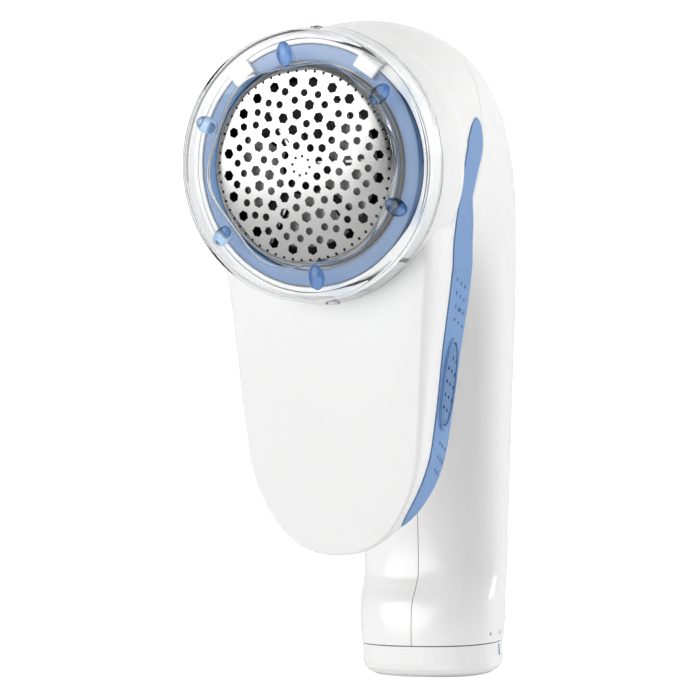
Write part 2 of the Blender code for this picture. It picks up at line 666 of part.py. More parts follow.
def make_cutter():
    carrier_profile = [(20.6, -58.6), (20.6, -57.5), (4.0, -57.5), (3.4, -56.0), (1.35, -56.0), (1.35, -58.6)]
    carrier = turned("blade_carrier", carrier_profile, "Y", (0, RING_Z), PARTS, "black_plastic", steps=36)
    for k in range(3):
        angle = 2 * math.pi * (k + 0.5) / 3
        window = cylinder("window", 4.6, -60.0, -56.0, "Y",
                          (12.5 * math.cos(angle), RING_Z + 12.5 * math.sin(angle)), sides=16)
        boolean(carrier, window)
    smooth(own(carrier, "blade_carrier", PARTS, "black_plastic"))
    for k in range(3):
        sections = []
        for r, y in ((3.0, -63.2), (10.0, -62.95), (15.0, -62.58), (21.0, -61.9)):
            sections.append([(r, y, 0.9), (r, y, 0.3), (r, -59.3, -2.4), (r, -58.9, -2.4), (r, -58.9, -1.6)])
        blade = loft("blade_%d" % (k + 1), sections, PARTS, "steel")
        turn = Matrix.Rotation(-2 * math.pi * k / 3, 4, "Y")
        blade.data.transform(Matrix.Translation((0, 0, RING_Z * MM)) @ turn)
    coil = []
    for k in range(28):
        angle = 2 * math.pi * k / 9
        coil.append((2.5 * math.cos(angle), -54.6 + 2.0 * k / 27, RING_Z + 2.5 * math.sin(angle)))
    wire("cutter_spring", coil, 0.22, "steel")
    collar = [(4.2, -52.0), (4.2, -50.9), (1.35, -50.9), (1.35, -52.0)]
    smooth(turned("drive_collar", collar, "Y", (0, RING_Z), PARTS, "black_plastic", steps=24))


def make_fan():
    profile = [(19.0, -50.4), (19.0, -49.4), (4.0, -49.4), (4.0, -46.8), (1.35, -46.8), (1.35, -50.4)]
    fan = turned("lint_fan", profile, "Y", (0, RING_Z), PARTS, "white_satin", steps=36)
    for k in range(6):
        vane = box("vane", (3.0, -49.8, -0.5), (18.4, -46.8, 0.5))
        turn = Matrix.Rotation(-2 * math.pi * k / 6, 4, "Y")
        vane.data.transform(Matrix.Translation((0, 0, RING_Z * MM)) @ turn)
        boolean(fan, vane, "UNION")
    smooth(own(fan, "lint_fan", PARTS, "white_satin"))


# ---- motor ----
def make_motor():
    axis = (0, RING_Z)
    mount = [(30.6, -44.6), (30.6, -43.0), (14.0, -43.0), (14.0, -33.0), (12.4, -33.0), (12.4, -41.6),
             (3.6, -41.6), (3.6, -44.6)]
    plate = turned("motor_mount", mount, "Y", axis, PARTS, "white_satin", steps=40)
    for number, x in enumerate((-8.0, 8.0), 1):
        boolean(plate, cylinder("hole", 1.35, -47.0, -40.0, "Y", (x, RING_Z), sides=12))
        screw = cylinder("mount_screw_%d" % number, 1.0, -45.2, -41.9, "Y", (x, RING_Z), sides=12)
        boolean(screw, cylinder("head", 1.9, -46.3, -44.9, "Y", (x, RING_Z), sides=16), "UNION")
        smooth(own(screw, "mount_screw_%d" % number, PARTS, "steel"))
    smooth(own(plate, "motor_mount", PARTS, "white_satin"))

    front, rear = MOTOR_FRONT_Y, MOTOR_REAR_Y
    can = [(MOTOR_R - 0.5, front), (MOTOR_R, front + 0.5), (MOTOR_R, rear - 0.3), (11.4, rear - 0.3),
           (11.4, front + 0.7), (3.3, front + 0.7), (3.3, front)]
    smooth(turned("motor_can", can, "Y", axis, PARTS, "steel", steps=32))
    cap = [(MOTOR_R, rear), (MOTOR_R, rear + 2.5), (3.1, rear + 2.5), (3.1, rear)]
    smooth(turned("motor_end_cap", cap, "Y", axis, PARTS, "black_plastic", steps=32))
    for label, low in (("front", front - 0.2), ("rear", rear + 0.2)):
        bush = [(2.8, low), (2.8, low + 2.2), (1.35, low + 2.2), (1.35, low)]
        smooth(turned("bearing_" + label, bush, "Y", axis, PARTS, "brass", steps=20))
    smooth(cylinder("motor_shaft", SHAFT_R, -58.3, rear + 2.3, "Y", axis, PARTS, "steel", sides=16))

    magnets = [(11.1, -37.0), (11.1, -19.0), (9.4, -19.0), (9.4, -37.0)]
    ring = turned("magnets", magnets, "Y", axis, CUTTERS, "magnet", steps=32)
    for label, low, high in (("upper", RING_Z + 4.0, RING_Z + 20.0), ("lower", RING_Z - 20.0, RING_Z - 4.0)):
        half = copy_of(ring, "magnet_" + label, PARTS, "magnet")
        boolean(half, box("half", (-20, -40, low), (20, -10, high)), "INTERSECT")
        smooth(own(half, "magnet_" + label, PARTS, "magnet"))
    bpy.data.objects.remove(ring, do_unlink=True)

    poles = []
    for k in range(3):
        middle = 2 * math.pi * k / 3 + math.pi / 2
        for spread, radius in ((-0.30, 3.0), (-0.42, 6.6), (-0.86, 7.2), (-0.86, 8.6), (-0.43, 8.9), (0.0, 8.9),
                               (0.43, 8.9), (0.86, 8.6), (0.86, 7.2), (0.42, 6.6), (0.30, 3.0)):
            poles.append((radius * math.cos(middle + spread), RING_Z + radius * math.sin(middle + spread)))
    armature = prism("armature", poles, -36.0, -20.0, "Y", PARTS, "copper")
    boolean(armature, cylinder("bore", 1.35, -50, -10, "Y", axis, sides=16))
    smooth(own(armature, "armature", PARTS, "copper"))
    commutator = [(2.8, -19.2), (2.8, -16.4), (1.35, -16.4), (1.35, -19.2)]
    smooth(turned("commutator", commutator, "Y", axis, PARTS, "copper", steps=20))
    for label, x in (("left", -6.0), ("right", 6.0)):
        box("motor_terminal_" + label, (x - 1.2, rear + 2.8, RING_Z - 0.3), (x + 1.2, rear + 6.0, RING_Z + 0.3),
            PARTS, "brass", bevel=0.1)


# ---- battery, contacts and cap ----
def make_batteries():
    low, high = CELL_BOTTOM_Z, CELL_BOTTOM_Z + CELL_LENGTH
    body = [(CELL_R - 0.5, high), (CELL_R, high - 0.5), (CELL_R, low + 0.5), (CELL_R - 0.5, low), (0, low)]
    upright = [(0, high + 1.1), (2.7, high + 1.1), (2.7, high)] + body
    flipped = [(r, low + high - z) for r, z in reversed(upright)]
    for label, x, profile in (("left", -CELL_X, upright), ("right", CELL_X, flipped)):
        smooth(turned("battery_" + label, profile, "Z", (x, CELL_Y), PARTS, "battery", steps=28, closed=False))


def spring(name, x, y, low, high, turns=2.5, radius=2.8, gauge=0.3, axis_points=9):
    count = int(turns * axis_points)
    points = []
    for k in range(count + 1):
        angle = 2 * math.pi * k / axis_points
        size = radius * (1 - 0.35 * k / count)
        points.append((x + size * math.cos(angle), y + size * math.sin(angle), low + (high - low) * k / count))
    return wire(name, points, gauge, "steel")


def make_contacts():
    wall = [(x, y + 6.2) for x, y in oval(18.0, 9.2, 32)]
    own(prism("contact_wall", wall, 64.2, 65.8, "Z"), "contact_wall", PARTS, "black_plastic")
    box("contact_positive", (-CELL_X - 4.0, CELL_Y - 4.0, 62.5), (-CELL_X + 4.0, CELL_Y + 4.0, 63.0), PARTS,
        "steel", bevel=0.1)
    box("contact_negative", (CELL_X - 4.0, CELL_Y - 4.0, 63.3), (CELL_X + 4.0, CELL_Y + 4.0, 63.8), PARTS,
        "steel", bevel=0.1)
    spring("contact_spring_top", CELL_X, CELL_Y, 61.4, 62.7, 2.0)

    carrier = [(x, y) for x, y in oval(13.0, 6.8, 28)]
    own(prism("contact_carrier", carrier, 5.2, 7.0, "Z"), "contact_carrier", PARTS, "black_plastic")
    box("contact_bridge", (-11.5, -2.2, 7.3), (11.5, 5.8, 7.8), PARTS, "steel", bevel=0.1)
    spring("contact_spring_base", -CELL_X, 2.2, 8.4, 10.9)


def make_cap():
    rim = [(x, y) for x, y in oval(18.2, 12.6, 48)]

    def ring(scale_in, z):
        return [(x * (1 - scale_in / 18.2), y * (1 - scale_in / 12.6), z) for x, y in rim]

    rings = [ring(4.4, 0.0)]
    for k in range(1, 5):
        angle = math.pi / 2 * k / 4
        rings.append(ring(4.4 * (1 - math.sin(angle)), 3.6 * (1 - math.cos(angle))))
    rings.append(ring(0.0, CAP_TOP_Z))
    cap = loft("base_cap", rings, CUTTERS)
    hollow = [(x, y) for x, y in oval(16.4, 10.8, 40)]
    boolean(cap, prism("cap_hollow", hollow, 2.4, 20.0, "Z"))
    for y in (-1, 1):
        lug = box("lug", (-3.0, min(y * 9.5, y * 10.5), 2.0), (3.0, max(y * 9.5, y * 10.5), 9.9))
        foot = box("foot", (-3.0, min(y * 9.8, y * 11.6), 2.0), (3.0, max(y * 9.8, y * 11.6), 6.0))
        boolean(lug, foot, "UNION")
        boolean(cap, lug, "UNION")
    smooth(own(cap, "base_cap", PARTS, "white_gloss"))


def make_wires():
    motor_end = MOTOR_REAR_Y + 6.6
    routes = {
        "wire_motor_battery": ("red_wire", (
            (6.0, motor_end, 130.0), (6.3, -3.0, 127.5), (6.8, 3.0, 119.0), (7.2, 6.5, 106.0), (7.5, 7.0, 92.0),
            (7.6, 6.4, 78.0), (7.6, 4.6, 66.7))),
        "wire_motor_switch": ("black_wire", (
            (-6.0, motor_end, 130.0), (-4.0, -4.0, 123.5), (3.0, -6.0, 117.5), (10.5, -13.0, 116.5),
            (15.5, -23.0, 117.5), (17.4, -31.5, 114.5), (18.2, -36.6, 107.0), (18.4, -38.9, 98.0),
            (18.1, -39.4, 91.0), (17.9, -39.2, 84.3))),
        "wire_switch_battery": ("black_wire", (
            (19.6, -39.2, 84.3), (20.1, -38.8, 91.0), (20.6, -37.4, 98.5), (20.2, -35.4, 106.0),
            (19.4, -31.5, 112.5), (17.2, -22.0, 120.5), (11.5, -11.0, 120.0), (3.0, 2.0, 112.0),
            (-4.5, 6.8, 97.0), (-7.4, 6.6, 80.0), (-7.6, 4.6, 66.7))),
    }
    for name, (finish, points) in routes.items():
        wire(name, spline_rows(points, 3), 0.6, finish)


make_shells()
make_case_screws()
make_button()
make_lint_bin()
make_guard()
make_foil_set()
make_cutter()
make_fan()
make_motor()
make_batteries()
make_contacts()
make_cap()
make_wires()
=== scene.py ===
"""Looks of the battery fabric shaver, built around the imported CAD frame.

Lengths are in millimetres in this file and the helpers turn them into metres.
Frame: +Z up along the handle, -Y the way the shaving head faces, +X the side with the power button.
"""
import math

import bmesh
import bpy
from mathutils import Matrix, Vector


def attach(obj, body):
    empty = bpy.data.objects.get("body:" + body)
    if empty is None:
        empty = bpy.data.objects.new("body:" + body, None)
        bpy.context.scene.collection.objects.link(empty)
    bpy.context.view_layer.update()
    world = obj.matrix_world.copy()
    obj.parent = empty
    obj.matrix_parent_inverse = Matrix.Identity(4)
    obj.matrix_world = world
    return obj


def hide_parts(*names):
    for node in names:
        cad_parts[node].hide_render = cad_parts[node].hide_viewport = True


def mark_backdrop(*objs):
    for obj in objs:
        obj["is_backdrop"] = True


MM = 0.001
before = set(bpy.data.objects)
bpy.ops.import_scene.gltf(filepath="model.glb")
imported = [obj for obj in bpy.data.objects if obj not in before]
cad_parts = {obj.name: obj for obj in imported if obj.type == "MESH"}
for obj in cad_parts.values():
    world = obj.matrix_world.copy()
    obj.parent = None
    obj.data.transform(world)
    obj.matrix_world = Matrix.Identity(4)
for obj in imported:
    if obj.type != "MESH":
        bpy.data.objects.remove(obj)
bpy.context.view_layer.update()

# ---- dimensions shared with the CAD (mm) ----
RING_Z = 130.0
DRUM_R = 33.0
DRUM_FRONT_Y = -54.6
DRUM_REAR_Y = -38.0
SPIGOT_R = 32.0
SPIGOT_IN_R = 31.0
SPIGOT_FRONT_Y = -58.6
FACE_Y = -53.0
SHIELD_BOTTOM_Z = 35.5
SHIELD_ROUND_H = 26.0
SHIELD_HALF_W = 27.8
SHIELD_MAX_HALF_W = 28.6
SHIELD_W_Z = 98.0
SHIELD_TAPER = 0.12
WALL = 1.8
SEAM_GAP = 0.22
SHELL_BOTTOM_Z = 8.4
BUTTON_Y = -40.2
BUTTON_Z = 76.0
BUTTON_TILT = math.radians(7.8)
BUTTON_TAPER = math.atan(SHIELD_TAPER)

ARCH = (
    (-50.0, 99.0, -50.0, 163.4, 28.6),
    (-41.0, 99.6, -41.0, 164.0, 28.6),
    (-32.0, 102.0, -27.0, 165.3, 28.1),
    (-26.0, 104.5, -13.2, 164.3, 27.4),
    (-20.5, 105.0, 0.6, 160.3, 26.6),
    (-15.0, 103.0, 12.2, 151.2, 25.6),
    (-10.0, 98.5, 19.2, 136.8, 24.4),
    (-6.8, 91.0, 21.2, 118.0, 23.2),
    (-5.6, 80.0, 20.8, 98.0, 22.1),
    (-5.6, 69.0, 19.2, 78.0, 21.1),
    (-5.8, 56.0, 17.6, 60.0, 20.3),
    (-6.0, 41.0, 15.8, 42.0, 19.5),
    (-6.7, 27.5, 14.3, 27.5, 19.0),
    (-8.6, 23.0, 14.0, 23.0, 18.95),
    (-11.3, 19.0, 13.8, 19.0, 18.9),
    (-12.4, 14.0, 13.5, 14.0, 18.8),
    (-12.7, SHELL_BOTTOM_Z, 12.7, SHELL_BOTTOM_Z, 18.4),
)
ARCH_SQUARE_IN = (4.5, 2.4)
ARCH_SQUARE_OUT = (2.05, 2.5)
# Shield side wall: height, and how far its rear edge is behind the face.
SHIELD_DEPTH = ((35.5, 2.6), (39.0, 4.2), (42.0, 7.0), (45.0, 9.6), (48.5, 12.0), (53.0, 14.1), (60.0, 15.9),
                (72.0, 18.3), (84.0, 20.2), (96.0, 23.0), (104.0, 24.6), (160.0, 24.7))
# Rounding of the shield's front edge: height, reach in from the side, reach back from the face.
SHIELD_EDGE = ((35.5, 0.9, 0.9), (52.0, 1.0, 1.2), (62.0, 1.4, 1.9), (73.0, 1.75, 2.5), (86.0, 2.2, 4.3),
               (98.0, 2.6, 6.5), (160.0, 2.6, 6.5))

# Soft grip: centre line (Y, Z) and half width along Y, down each side of the shield.
GRIP_LINE = (
    (-21.6, 140.1, 0.5), (-21.9, 139.1, 2.1), (-22.6, 137.6, 3.5), (-24.8, 132.2, 5.7),
    (-28.5, 126.2, 5.2), (-31.8, 120.2, 4.6), (-34.2, 114.2, 4.9), (-35.7, 108.2, 5.4),
    (-37.1, 96.1, 5.5), (-39.2, 84.1, 5.1), (-40.5, 72.1, 4.6),
    (-42.5, 60.2, 4.35), (-44.3, 53.1, 4.3), (-45.9, 48.4, 3.8), (-47.2, 44.9, 2.8), (-48.3, 42.3, 0.3),
)
# Seam between the front shell and the two rear shells, seen from the side.
SEAM = ((-11.2, 172.0), (-11.5, 164.0), (-12.6, 157.5), (-14.6, 150.0), (-17.2, 141.5), (-17.8, 132.0),
        (-21.4, 126.0), (-25.2, 120.0), (-27.4, 114.0), (-27.9, 108.0), (-27.9, 100.0))
CASE_SCREWS = ((-7.4, 15.0, 3.3), (13.5, 84.0, 3.6), (5.0, 150.0, 3.6))


# ---- camera ----
def make_camera():
    """The view: 26 degrees to the right of the head's axis, level, long lens."""
    yaw, pitch, roll = math.radians(25.908), math.radians(2.537), math.radians(2.3)
    forward = Vector((-math.sin(yaw) * math.cos(pitch), math.cos(yaw) * math.cos(pitch), -math.sin(pitch)))
    right = Vector((math.cos(yaw), math.sin(yaw), 0.0))
    up = right.cross(forward)
    side = right * math.cos(roll) - up * math.sin(roll)
    top = right * math.sin(roll) + up * math.cos(roll)
    camera = bpy.data.objects.new("camera", bpy.data.cameras.new("camera"))
    bpy.context.scene.collection.objects.link(camera)
    turn = Matrix((side, top, -forward)).transposed().to_4x4()
    camera.matrix_world = Matrix.Translation((0.4002, -0.8651, 0.1253)) @ turn
    camera.data.lens = 193.06
    camera.data.sensor_width = 36.0
    camera.data.clip_end = 20.0
    bpy.context.scene.camera = camera


# ---- materials ----
def new_material(name):
    mat = bpy.data.materials.new(name)
    mat.use_nodes = True
    nodes, links = mat.node_tree.nodes, mat.node_tree.links
    return mat, nodes, links, nodes["Principled BSDF"]


def add_noise(nodes, links, scale, detail=3.0, coordinates=None):
    if coordinates is None:
        coordinates = nodes.new("ShaderNodeTexCoord").outputs["Object"]
    noise = nodes.new("ShaderNodeTexNoise")
    noise.inputs["Scale"].default_value = scale
    noise.inputs["Detail"].default_value = detail
    links.new(coordinates, noise.inputs["Vector"])
    return noise.outputs["Fac"]


def spread(nodes, links, source, low, high):
    """Map a 0..1 value to low..high."""
    ramp = nodes.new("ShaderNodeMapRange")
    ramp.inputs["From Min"].default_value = 0.3
    ramp.inputs["From Max"].default_value = 0.7
    ramp.inputs["To Min"].default_value = low
    ramp.inputs["To Max"].default_value = high
    links.new(source, ramp.inputs["Value"])
    return ramp.outputs["Result"]


def mix_colours(nodes, links, factor, first, second):
    mix = nodes.new("ShaderNodeMix")
    mix.data_type = "RGBA"
    mix.inputs["A"].default_value = (*first, 1.0)
    mix.inputs["B"].default_value = (*second, 1.0)
    links.new(factor, mix.inputs["Factor"])
    return mix.outputs["Result"]


def add_bump(nodes, links, shader, height, strength, distance):
    bump = nodes.new("ShaderNodeBump")
    bump.inputs["Strength"].default_value = strength
    bump.inputs["Distance"].default_value = distance
    links.new(height, bump.inputs["Height"])
    links.new(bump.outputs["Normal"], shader.inputs["Normal"])


def plastic(name, colour, shade, roughness=(0.14, 0.2), grain=(900.0, 0.05), coat=0.0, subsurface=0.0):
    """Moulded plastic: slight mottling of colour and gloss, and a fine moulded grain."""
    mat, nodes, links, shader = new_material(name)
    cloud = add_noise(nodes, links, 55.0)
    links.new(mix_colours(nodes, links, cloud, colour, shade), shader.inputs["Base Color"])
    links.new(spread(nodes, links, add_noise(nodes, links, 160.0), *roughness), shader.inputs["Roughness"])
    add_bump(nodes, links, shader, add_noise(nodes, links, grain[0], 2.0), grain[1], 0.0001)
    shader.inputs["IOR"].default_value = 1.5
    shader.inputs["Coat Weight"].default_value = coat
    shader.inputs["Coat Roughness"].default_value = 0.05
    if subsurface:
        shader.inputs["Subsurface Weight"].default_value = subsurface
        shader.inputs["Subsurface Radius"].default_value = (0.002, 0.002, 0.002)
        shader.inputs["Subsurface Scale"].default_value = 0.5
    return mat


def metal(name, colour, shade, roughness, grain=(400.0, 0.02), stretch=(1.0, 1.0, 1.0)):
    """Metal with a faint drawn grain."""
    mat, nodes, links, shader = new_material(name)
    coordinates = nodes.new("ShaderNodeTexCoord")
    scale = nodes.new("ShaderNodeVectorMath")
    scale.operation = "MULTIPLY"
    scale.inputs[1].default_value = stretch
    links.new(coordinates.outputs["Object"], scale.inputs[0])
    fine = add_noise(nodes, links, grain[0], 4.0, scale.outputs["Vector"])
    links.new(mix_colours(nodes, links, fine, colour, shade), shader.inputs["Base Color"])
    links.new(spread(nodes, links, fine, *roughness), shader.inputs["Roughness"])
    add_bump(nodes, links, shader, fine, grain[1], 0.0001)
    shader.inputs["Metallic"].default_value = 1.0
    return mat


def clear_plastic(name, colours=((0.985, 0.99, 0.992), (0.97, 0.98, 0.985))):
    """Clear plastic that lets light through to the pieces behind it."""
    mat, nodes, links, shader = new_material(name)
    cloud = add_noise(nodes, links, 90.0)
    links.new(mix_colours(nodes, links, cloud, *colours), shader.inputs["Base Color"])
    links.new(spread(nodes, links, add_noise(nodes, links, 220.0), 0.01, 0.03), shader.inputs["Roughness"])
    add_bump(nodes, links, shader, add_noise(nodes, links, 120.0, 1.0), 0.02, 0.0001)
    shader.inputs["Transmission Weight"].default_value = 1.0
    shader.inputs["Specular IOR Level"].default_value = 0.2
    shader.inputs["IOR"].default_value = 1.4
    path = nodes.new("ShaderNodeLightPath")
    through = nodes.new("ShaderNodeBsdfTransparent")
    through.inputs["Color"].default_value = (*colours[0], 1.0)
    mix = nodes.new("ShaderNodeMixShader")
    links.new(path.outputs["Is Shadow Ray"], mix.inputs["Fac"])
    links.new(shader.outputs["BSDF"], mix.inputs[1])
    links.new(through.outputs["BSDF"], mix.inputs[2])
    links.new(mix.outputs["Shader"], nodes["Material Output"].inputs["Surface"])
    return mat


WHITE = plastic("white_gloss_plastic", (0.892, 0.892, 0.888), (0.882, 0.882, 0.878), (0.18, 0.22),
                coat=0.15)
SATIN = plastic("white_satin_plastic", (0.88, 0.88, 0.875), (0.84, 0.84, 0.835), (0.32, 0.42),
                grain=(1500.0, 0.12))
BLUE = plastic("blue_plastic", (0.120, 0.238, 0.452), (0.110, 0.222, 0.428), (0.36, 0.46),
               grain=(1800.0, 0.1))
GRIP = plastic("blue_soft_grip", (0.172, 0.318, 0.590), (0.158, 0.298, 0.565), (0.38, 0.5),
               grain=(2200.0, 0.2),
               subsurface=0.15)
BLACK = plastic("black_plastic", (0.020, 0.020, 0.021), (0.030, 0.030, 0.031), (0.38, 0.5),
                grain=(1600.0, 0.2))
DARK = plastic("dark_cavity_plastic", (0.016, 0.015, 0.015), (0.024, 0.023, 0.022), (0.45, 0.6))
MAGNET = plastic("magnet_ferrite", (0.045, 0.045, 0.050), (0.065, 0.065, 0.070), (0.5, 0.65),
                 grain=(2600.0, 0.5))
LABEL = plastic("battery_sleeve", (0.030, 0.034, 0.040), (0.055, 0.060, 0.066), (0.22, 0.3), coat=0.6)
RED = plastic("red_insulation", (0.50, 0.030, 0.020), (0.40, 0.022, 0.016), (0.35, 0.45))
SLEEVE = plastic("black_insulation", (0.015, 0.015, 0.015), (0.025, 0.025, 0.025), (0.35, 0.45))
CLEAR = clear_plastic("clear_guard_plastic")
LENS = clear_plastic("clear_guard_lens", ((0.52, 0.69, 0.91), (0.48, 0.66, 0.90)))
STEEL = metal("polished_steel", (0.50, 0.50, 0.495), (0.46, 0.46, 0.458), (0.20, 0.27))
WING = plastic("blade_wing_steel", (0.36, 0.36, 0.36), (0.31, 0.31, 0.31), (0.3, 0.4))
DULL = metal("stamped_steel", (0.55, 0.55, 0.55), (0.44, 0.44, 0.44), (0.34, 0.46), (500.0, 0.1),
             (1.0, 1.0, 9.0))
BRASS = metal("brass", (0.78, 0.58, 0.28), (0.66, 0.48, 0.22), (0.25, 0.36), (500.0, 0.08),
              (1.0, 7.0, 1.0))
COPPER = metal("lacquered_copper", (0.72, 0.36, 0.20), (0.58, 0.26, 0.13), (0.28, 0.4), (260.0, 0.4),
               (1.0, 14.0, 1.0))
MARK = plastic("blue_mark", (0.050, 0.150, 0.560), (0.045, 0.140, 0.520), (0.3, 0.4))


# ---- mesh helpers ----
def collect(obj, name, mat=None):
    obj.name = name
    if mat:
        obj.data.materials.clear()
        obj.data.materials.append(mat)
    return obj


def mesh_object(name, points, faces, mat=None):
    mesh = bpy.data.meshes.new(name)
    mesh.from_pydata([Vector(p) * MM for p in points], [], faces)
    bm = bmesh.new()
    bm.from_mesh(mesh)
    bmesh.ops.remove_doubles(bm, verts=bm.verts, dist=0.004 * MM)
    bmesh.ops.dissolve_degenerate(bm, edges=bm.edges, dist=0.001 * MM)
    bmesh.ops.recalc_face_normals(bm, faces=bm.faces)
    bm.to_mesh(mesh)
    bm.free()
    obj = bpy.data.objects.new(name, mesh)
    bpy.context.scene.collection.objects.link(obj)
    return collect(obj, name, mat)


def loft(name, rings, mat=None, caps=True, closed=False):
    """A skin through rings of points; closed joins the last ring to the first."""
    count = len(rings[0])
    points = [p for ring in rings for p in ring]
    faces = []
    pairs = len(rings) if closed else len(rings) - 1
    for a in range(pairs):
        b = (a + 1) % len(rings)
        for i in range(count):
            j = (i + 1) % count
            faces.append((a * count + i, a * count + j, b * count + j, b * count + i))
    if caps and not closed:
        faces.append(tuple(range(count)))
        faces.append(tuple(range((len(rings) - 1) * count, len(rings) * count)))
    return mesh_object(name, points, faces, mat)


def prism(name, outline, low, high, axis, mat=None):
    """A flat outline pushed along one axis: "X" takes (y, z), "Y" takes (x, z), "Z" takes (x, y)."""
    place = {"X": lambda p, d: (d, p[0], p[1]), "Y": lambda p, d: (p[0], d, p[1]),
             "Z": lambda p, d: (p[0], p[1], d)}[axis]
    return loft(name, [[place(p, d) for p in outline] for d in (low, high)], mat)


def turned(name, profile, axis="Y", centre=(0.0, RING_Z), mat=None, steps=160, closed=True):
    """A profile of (radius, distance along the axis) turned about it."""
    def spot(r, d, angle):
        a, b = centre[0] + r * math.cos(angle), centre[1] + r * math.sin(angle)
        return (a, d, b) if axis == "Y" else (a, b, d)

    rings = [[spot(r, d, 2 * math.pi * k / steps) for k in range(steps)] for r, d in profile]
    return loft(name, rings, mat, caps=False, closed=closed)


def bake(obj):
    bpy.context.view_layer.update()
    mesh = bpy.data.meshes.new_from_object(obj.evaluated_get(bpy.context.evaluated_depsgraph_get()))
    mesh.transform(obj.matrix_world)
    obj.modifiers.clear()
    obj.data = mesh
    obj.matrix_world = Matrix.Identity(4)
    return obj


def boolean(obj, other, operation="DIFFERENCE", keep=False):
    mod = obj.modifiers.new("boolean", "BOOLEAN")
    mod.operation = operation
    mod.solver = "EXACT"
    mod.object = other
    bake(obj)
    if not keep:
        bpy.data.objects.remove(other, do_unlink=True)
    return obj


def duplicate(obj, name):
    twin = obj.copy()
    twin.data = obj.data.copy()
    bpy.context.scene.collection.objects.link(twin)
    return collect(twin, name)


def smooth(obj, angle=32.0):
    obj.data.shade_smooth()
    obj.data.set_sharp_from_angle(angle=math.radians(angle))
    return obj


def bevel(obj, width, segments=2, angle=40.0):
    mod = obj.modifiers.new("bevel", "BEVEL")
    mod.width = width * MM
    mod.segments = segments
    mod.limit_method = "ANGLE"
    mod.angle_limit = math.radians(angle)
    return bake(obj)


def box(name, low, high, mat=None):
    outline = [(low[0], low[1]), (high[0], low[1]), (high[0], high[1]), (low[0], high[1])]
    return prism(name, outline, low[2], high[2], "Z", mat)


def cylinder(name, radius, low, high, axis, centre, mat=None, sides=48):
    outline = [(centre[0] + radius * math.cos(2 * math.pi * k / sides),
                centre[1] + radius * math.sin(2 * math.pi * k / sides)) for k in range(sides)]
    return prism(name, outline, low, high, axis, mat)


def join(name, pieces, mat=None):
    """One object from several."""
    bm = bmesh.new()
    for piece in pieces:
        bm.from_mesh(piece.data)
    mesh = bpy.data.meshes.new(name)
    bm.to_mesh(mesh)
    bm.free()
    for piece in pieces:
        bpy.data.objects.remove(piece, do_unlink=True)
    obj = bpy.data.objects.new(name, mesh)
    bpy.context.scene.collection.objects.link(obj)
    return collect(obj, name, mat)


def balls(name, spots, radii):
    """Small separate ellipsoids, for dimples and lenses."""
    bm = bmesh.new()
    for spot in spots:
        place = Matrix.Translation(Vector(spot) * MM)
        place = place @ Matrix.Diagonal((radii[0], radii[1], radii[2], 1.0))
        bmesh.ops.create_uvsphere(bm, u_segments=20, v_segments=12, radius=MM, matrix=place)
    mesh = bpy.data.meshes.new(name)
    bm.to_mesh(mesh)
    bm.free()
    obj = bpy.data.objects.new(name, mesh)
    bpy.context.scene.collection.objects.link(obj)
    return collect(obj, name)


# ---- curves that the shapes share ----
def spline_rows(rows, steps):
    out = []
    last = len(rows) - 1
    for i in range(last):
        p0, p1, p2, p3 = rows[max(i - 1, 0)], rows[i], rows[i + 1], rows[min(i + 2, last)]
        for k in range(steps):
            t = k / steps
            out.append(tuple(0.5 * (2 * b + (c - a) * t + (2 * a - 5 * b + 4 * c - d) * t * t
                                    + (3 * b - a - 3 * c + d) * t ** 3)
                             for a, b, c, d in zip(p0, p1, p2, p3)))
    out.append(tuple(rows[last]))
    return out


def arch_solid(name, inset, bottom=SHELL_BOTTOM_Z, steps=8, around=112):
    rows = spline_rows(ARCH, steps)
    rings = []
    for n, (in_y, in_z, out_y, out_z, half) in enumerate(rows):
        share = n / (len(rows) - 1)
        inner, outer = Vector((in_y, in_z)), Vector((out_y, out_z))
        middle = (inner + outer) / 2
        reach = (outer - inner) / 2
        reach *= (reach.length - inset) / reach.length
        ring = []
        for k in range(around):
            angle = 2 * math.pi * (k + 0.5) / around
            side, up = math.cos(angle), math.sin(angle)
            ends = ARCH_SQUARE_OUT if up > 0 else ARCH_SQUARE_IN
            power = 2 / (ends[0] + (ends[1] - ends[0]) * min(1.0, share * 1.4))
            x = math.copysign(abs(side) ** power, side) * (half - inset)
            spot = middle + reach * math.copysign(abs(up) ** power, up)
            ring.append((x, spot.x, spot.y))
        rings.append(ring)
    if bottom < SHELL_BOTTOM_Z:
        rings.append([(x, y, bottom) for x, y, _ in rings[-1]])
    return loft(name, rings)


def shield_half_width(z):
    return min(SHIELD_MAX_HALF_W, SHIELD_HALF_W + SHIELD_TAPER * (z - SHIELD_W_Z))


def between(rows, z):
    """The values after the height in rows of (height, value, ...), smoothly worked out for one height."""
    z = min(max(z, rows[0][0]), rows[-1][0])
    last = len(rows) - 1
    for i in range(last):
        if z <= rows[i + 1][0]:
            p0, p1, p2, p3 = rows[max(i - 1, 0)], rows[i], rows[i + 1], rows[min(i + 2, last)]
            width = p2[0] - p1[0]
            t = (z - p1[0]) / width
            out = []
            for a, b, c, d in zip(p0[1:], p1[1:], p2[1:], p3[1:]):
                start = (c - a) / (p2[0] - p0[0]) * width
                end = (d - b) / (p3[0] - p1[0]) * width
                square = 3 * (c - b) - 2 * start - end
                cube = 2 * (b - c) + start + end
                out.append(b + t * (start + t * (square + t * cube)))
            return out


